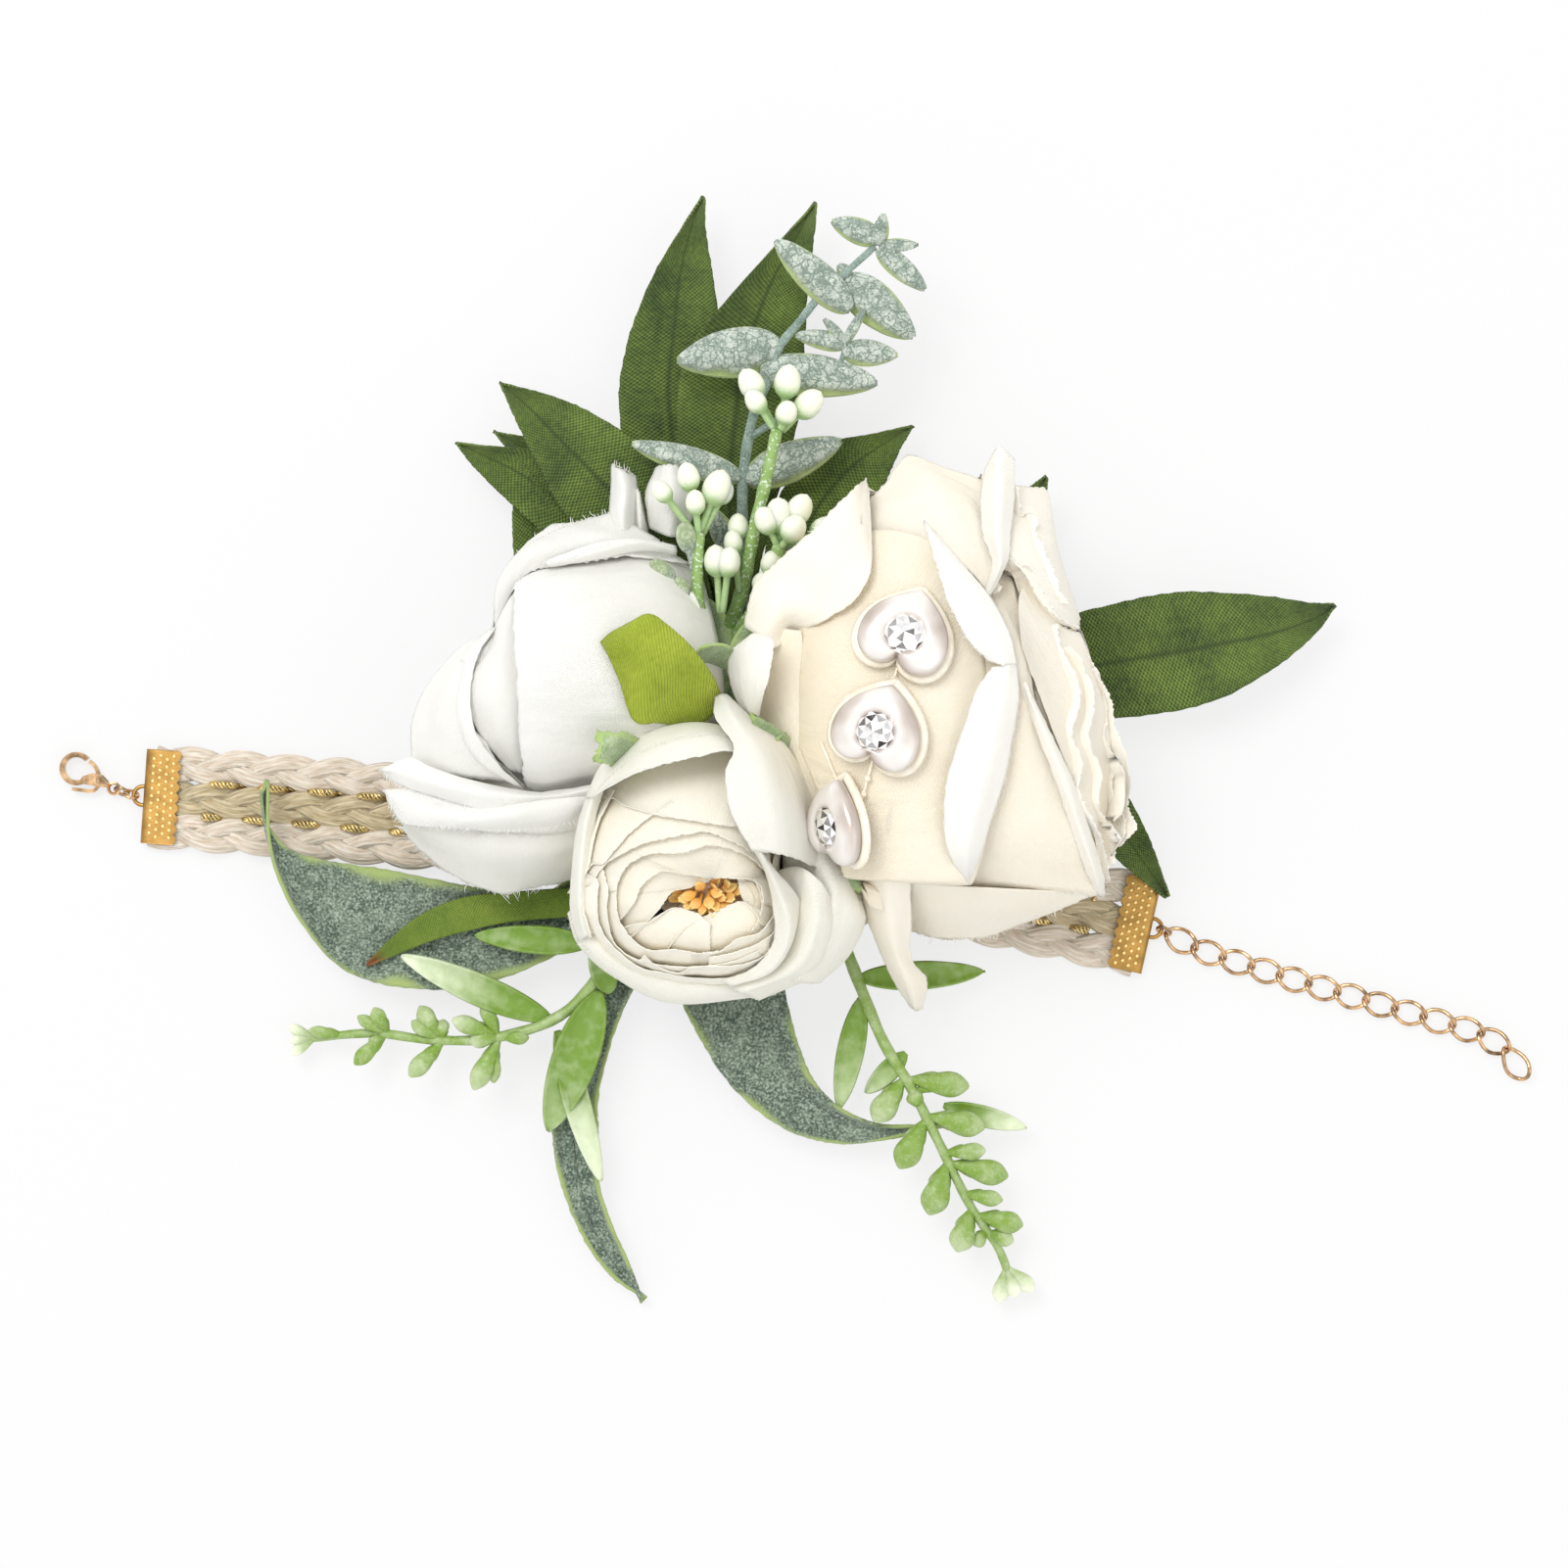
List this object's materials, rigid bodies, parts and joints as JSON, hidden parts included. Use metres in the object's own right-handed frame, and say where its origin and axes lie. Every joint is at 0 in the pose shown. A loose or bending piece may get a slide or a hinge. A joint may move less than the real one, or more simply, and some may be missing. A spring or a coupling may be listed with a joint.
{
  "type": "wrist corsage",
  "caption": "Silk flower wrist corsage on a braided cotton band with a lobster clasp and a curb extender chain",
  "frame": {"origin": "centre of the wrist face of the felt backing, which lies on the table", "axes": "+X along the band towards the extender chain, +Y towards the tall leaves, +Z out of the wrist to the flowers"},
  "size_m": [0.2498, 0.1857, 0.0532],
  "materials": {
    "natural_cotton": "undyed cotton plait",
    "khaki_cotton": "khaki cotton plait",
    "gold_thread": "metallised thread",
    "antique_gold": "plated and dotted sheet",
    "rose_gold": "polished plating",
    "spring_steel": "bright strip",
    "felt": "white felt",
    "white_silk": "white polyester silk with frayed edges",
    "cream_silk": "cream polyester silk with frayed edges",
    "stamen_yellow": "moulded stamens",
    "calyx_green": "flocked sepals",
    "dark_leaf": "printed canvas leaf",
    "sage_leaf": "flocked leaf",
    "satin_green": "satin twill",
    "olive_leaf": "ribbed leaf shading to brown",
    "eucalyptus": "dusted plastic",
    "berry_green": "frosted plastic",
    "fresh_green": "soft plastic",
    "pearl": "pearl lacquer",
    "crystal": "foil-backed cut stone",
    "clear_line": "clear nylon line"
  },
  "bodies": {
    "root": {"braid_upper": "natural_cotton", "braid_middle": "khaki_cotton", "braid_lower": "natural_cotton", "gold_cord_upper": "gold_thread", "gold_cord_lower": "gold_thread", "felt_backing": "felt", "clasp_crimp": "antique_gold", "chain_crimp": "antique_gold", "ranunculus_calyx": "calyx_green", "ranunculus_outer_petals": "cream_silk", "ranunculus_middle_petals": "cream_silk", "ranunculus_heart_petals": "cream_silk", "ranunculus_stamens": "stamen_yellow", "rose_calyx": "calyx_green", "rose_outer_petals": "white_silk", "rose_inner_petals": "white_silk", "rose_bud": "white_silk", "peony_calyx": "calyx_green", "peony_guard_petals": "cream_silk", "peony_inner_petals": "cream_silk", "peony_heart": "cream_silk", "pearl_heart_1": "pearl", "rhinestone_1": "crystal", "pearl_heart_2": "pearl", "rhinestone_2": "crystal", "pearl_heart_3": "pearl", "rhinestone_3": "crystal", "pearl_strand_line": "clear_line", "berry_sprig": "berry_green", "eucalyptus_sprig": "eucalyptus", "lavender_sprig_left": "fresh_green", "lavender_sprig_right": "fresh_green", "satin_leaf": "satin_green", "olive_leaf": "olive_leaf", "sage_leaf_1": "sage_leaf", "sage_leaf_2": "sage_leaf", "sage_leaf_3": "sage_leaf", "leaf_spray_left": "dark_leaf", "leaf_spray_right": "dark_leaf"},
    "clasp": {"clasp_body": "rose_gold", "clasp_pin": "rose_gold", "clasp_spring": "spring_steel"},
    "clasp_crimp_ring": {"clasp_crimp_ring": "rose_gold"},
    "clasp_link_ring": {"clasp_link_ring": "rose_gold"},
    "clasp_lever": {"clasp_lever": "rose_gold"},
    "chain_crimp_ring": {"chain_crimp_ring": "rose_gold"},
    "chain_link_01": {"chain_link_01": "rose_gold"},
    "chain_link_02": {"chain_link_02": "rose_gold"},
    "chain_link_03": {"chain_link_03": "rose_gold"},
    "chain_link_04": {"chain_link_04": "rose_gold"},
    "chain_link_05": {"chain_link_05": "rose_gold"},
    "chain_link_06": {"chain_link_06": "rose_gold"},
    "chain_link_07": {"chain_link_07": "rose_gold"},
    "chain_link_08": {"chain_link_08": "rose_gold"},
    "chain_link_09": {"chain_link_09": "rose_gold"},
    "chain_link_10": {"chain_link_10": "rose_gold"},
    "chain_link_11": {"chain_link_11": "rose_gold"},
    "chain_link_12": {"chain_link_12": "rose_gold"},
    "chain_end_link": {"chain_end_link": "rose_gold"}
  },
  "joints": [
    {"name": "clasp_ring_swing", "type": "hinge", "parent": "root", "child": "clasp_crimp_ring", "pos_m": [-0.10537, 0.00637, 0.00135], "axis": [-0.0698, -0.9976, 0], "range_deg": [-30, 30]},
    {"name": "link_ring_swing", "type": "hinge", "parent": "clasp_crimp_ring", "child": "clasp_link_ring", "pos_m": [-0.10691, 0.00687, 0.00135], "axis": [-0.1451, -0.4465, 0.8829], "range_deg": [-30, 30]},
    {"name": "clasp_swing", "type": "hinge", "parent": "clasp_link_ring", "child": "clasp", "pos_m": [-0.10852, 0.00739, 0.00135], "axis": [0.1451, 0.4465, 0.8829], "range_deg": [-30, 30]},
    {"name": "clasp_lever_press", "type": "hinge", "parent": "clasp", "child": "clasp_lever", "pos_m": [-0.11119, 0.00881, 0.00135], "axis": [0, 0, 1], "range_deg": [0, 26], "stiffness_Nm_per_rad": 0.0002, "deforming": ["clasp_spring"]},
    {"name": "chain_ring_swing", "type": "hinge", "parent": "root", "child": "chain_crimp_ring", "pos_m": [0.0692, -0.01655, 0.00135], "axis": [0.2164, 0.9763, 0], "range_deg": [-30, 30]},
    {"name": "chain_link_01_swing", "type": "hinge", "parent": "chain_crimp_ring", "child": "chain_link_01", "pos_m": [0.07068, -0.01721, 0.00135], "axis": [0.191, 0.4289, 0.8829], "range_deg": [-30, 30]},
    {"name": "chain_link_02_swing", "type": "hinge", "parent": "chain_link_01", "child": "chain_link_02", "pos_m": [0.07511, -0.01985, 0.00135], "axis": [-0.3536, -0.6124, -0.7071], "range_deg": [-35, 35]},
    {"name": "chain_link_03_swing", "type": "hinge", "parent": "chain_link_02", "child": "chain_link_03", "pos_m": [0.07914, -0.02117, 0.00135], "axis": [0.2067, 0.6762, -0.7071], "range_deg": [-35, 35]},
    {"name": "chain_link_04_swing", "type": "hinge", "parent": "chain_link_03", "child": "chain_link_04", "pos_m": [0.08481, -0.0229, 0.00135], "axis": [0.2067, 0.6762, 0.7071], "range_deg": [-35, 35]},
    {"name": "chain_link_05_swing", "type": "hinge", "parent": "chain_link_04", "child": "chain_link_05", "pos_m": [0.08886, -0.02414, 0.00135], "axis": [-0.2067, -0.6762, 0.7071], "range_deg": [-35, 35]},
    {"name": "chain_link_06_swing", "type": "hinge", "parent": "chain_link_05", "child": "chain_link_06", "pos_m": [0.09453, -0.02587, 0.00135], "axis": [-0.2067, -0.6762, -0.7071], "range_deg": [-35, 35]},
    {"name": "chain_link_07_swing", "type": "hinge", "parent": "chain_link_06", "child": "chain_link_07", "pos_m": [0.0986, -0.02702, 0.00135], "axis": [0.1949, 0.6797, -0.7071], "range_deg": [-35, 35]},
    {"name": "chain_link_08_swing", "type": "hinge", "parent": "chain_link_07", "child": "chain_link_08", "pos_m": [0.1043, -0.02866, 0.00135], "axis": [0.1949, 0.6797, 0.7071], "range_deg": [-35, 35]},
    {"name": "chain_link_09_swing", "type": "hinge", "parent": "chain_link_08", "child": "chain_link_09", "pos_m": [0.10837, -0.02982, 0.00135], "axis": [-0.1949, -0.6797, 0.7071], "range_deg": [-35, 35]},
    {"name": "chain_link_10_swing", "type": "hinge", "parent": "chain_link_09", "child": "chain_link_10", "pos_m": [0.11407, -0.03146, 0.00135], "axis": [-0.1949, -0.6797, -0.7071], "range_deg": [-35, 35]},
    {"name": "chain_link_11_swing", "type": "hinge", "parent": "chain_link_10", "child": "chain_link_11", "pos_m": [0.11813, -0.03262, 0.00135], "axis": [0.1949, 0.6797, -0.7071], "range_deg": [-35, 35]},
    {"name": "chain_link_12_swing", "type": "hinge", "parent": "chain_link_11", "child": "chain_link_12", "pos_m": [0.12383, -0.03426, 0.00135], "axis": [0.1949, 0.6797, 0.7071], "range_deg": [-35, 35]},
    {"name": "chain_end_link_swing", "type": "hinge", "parent": "chain_link_12", "child": "chain_end_link", "pos_m": [0.12815, -0.03699, 0.00135], "axis": [0.3536, 0.6124, 0.7071], "range_deg": [-25, 25]}
  ]
}
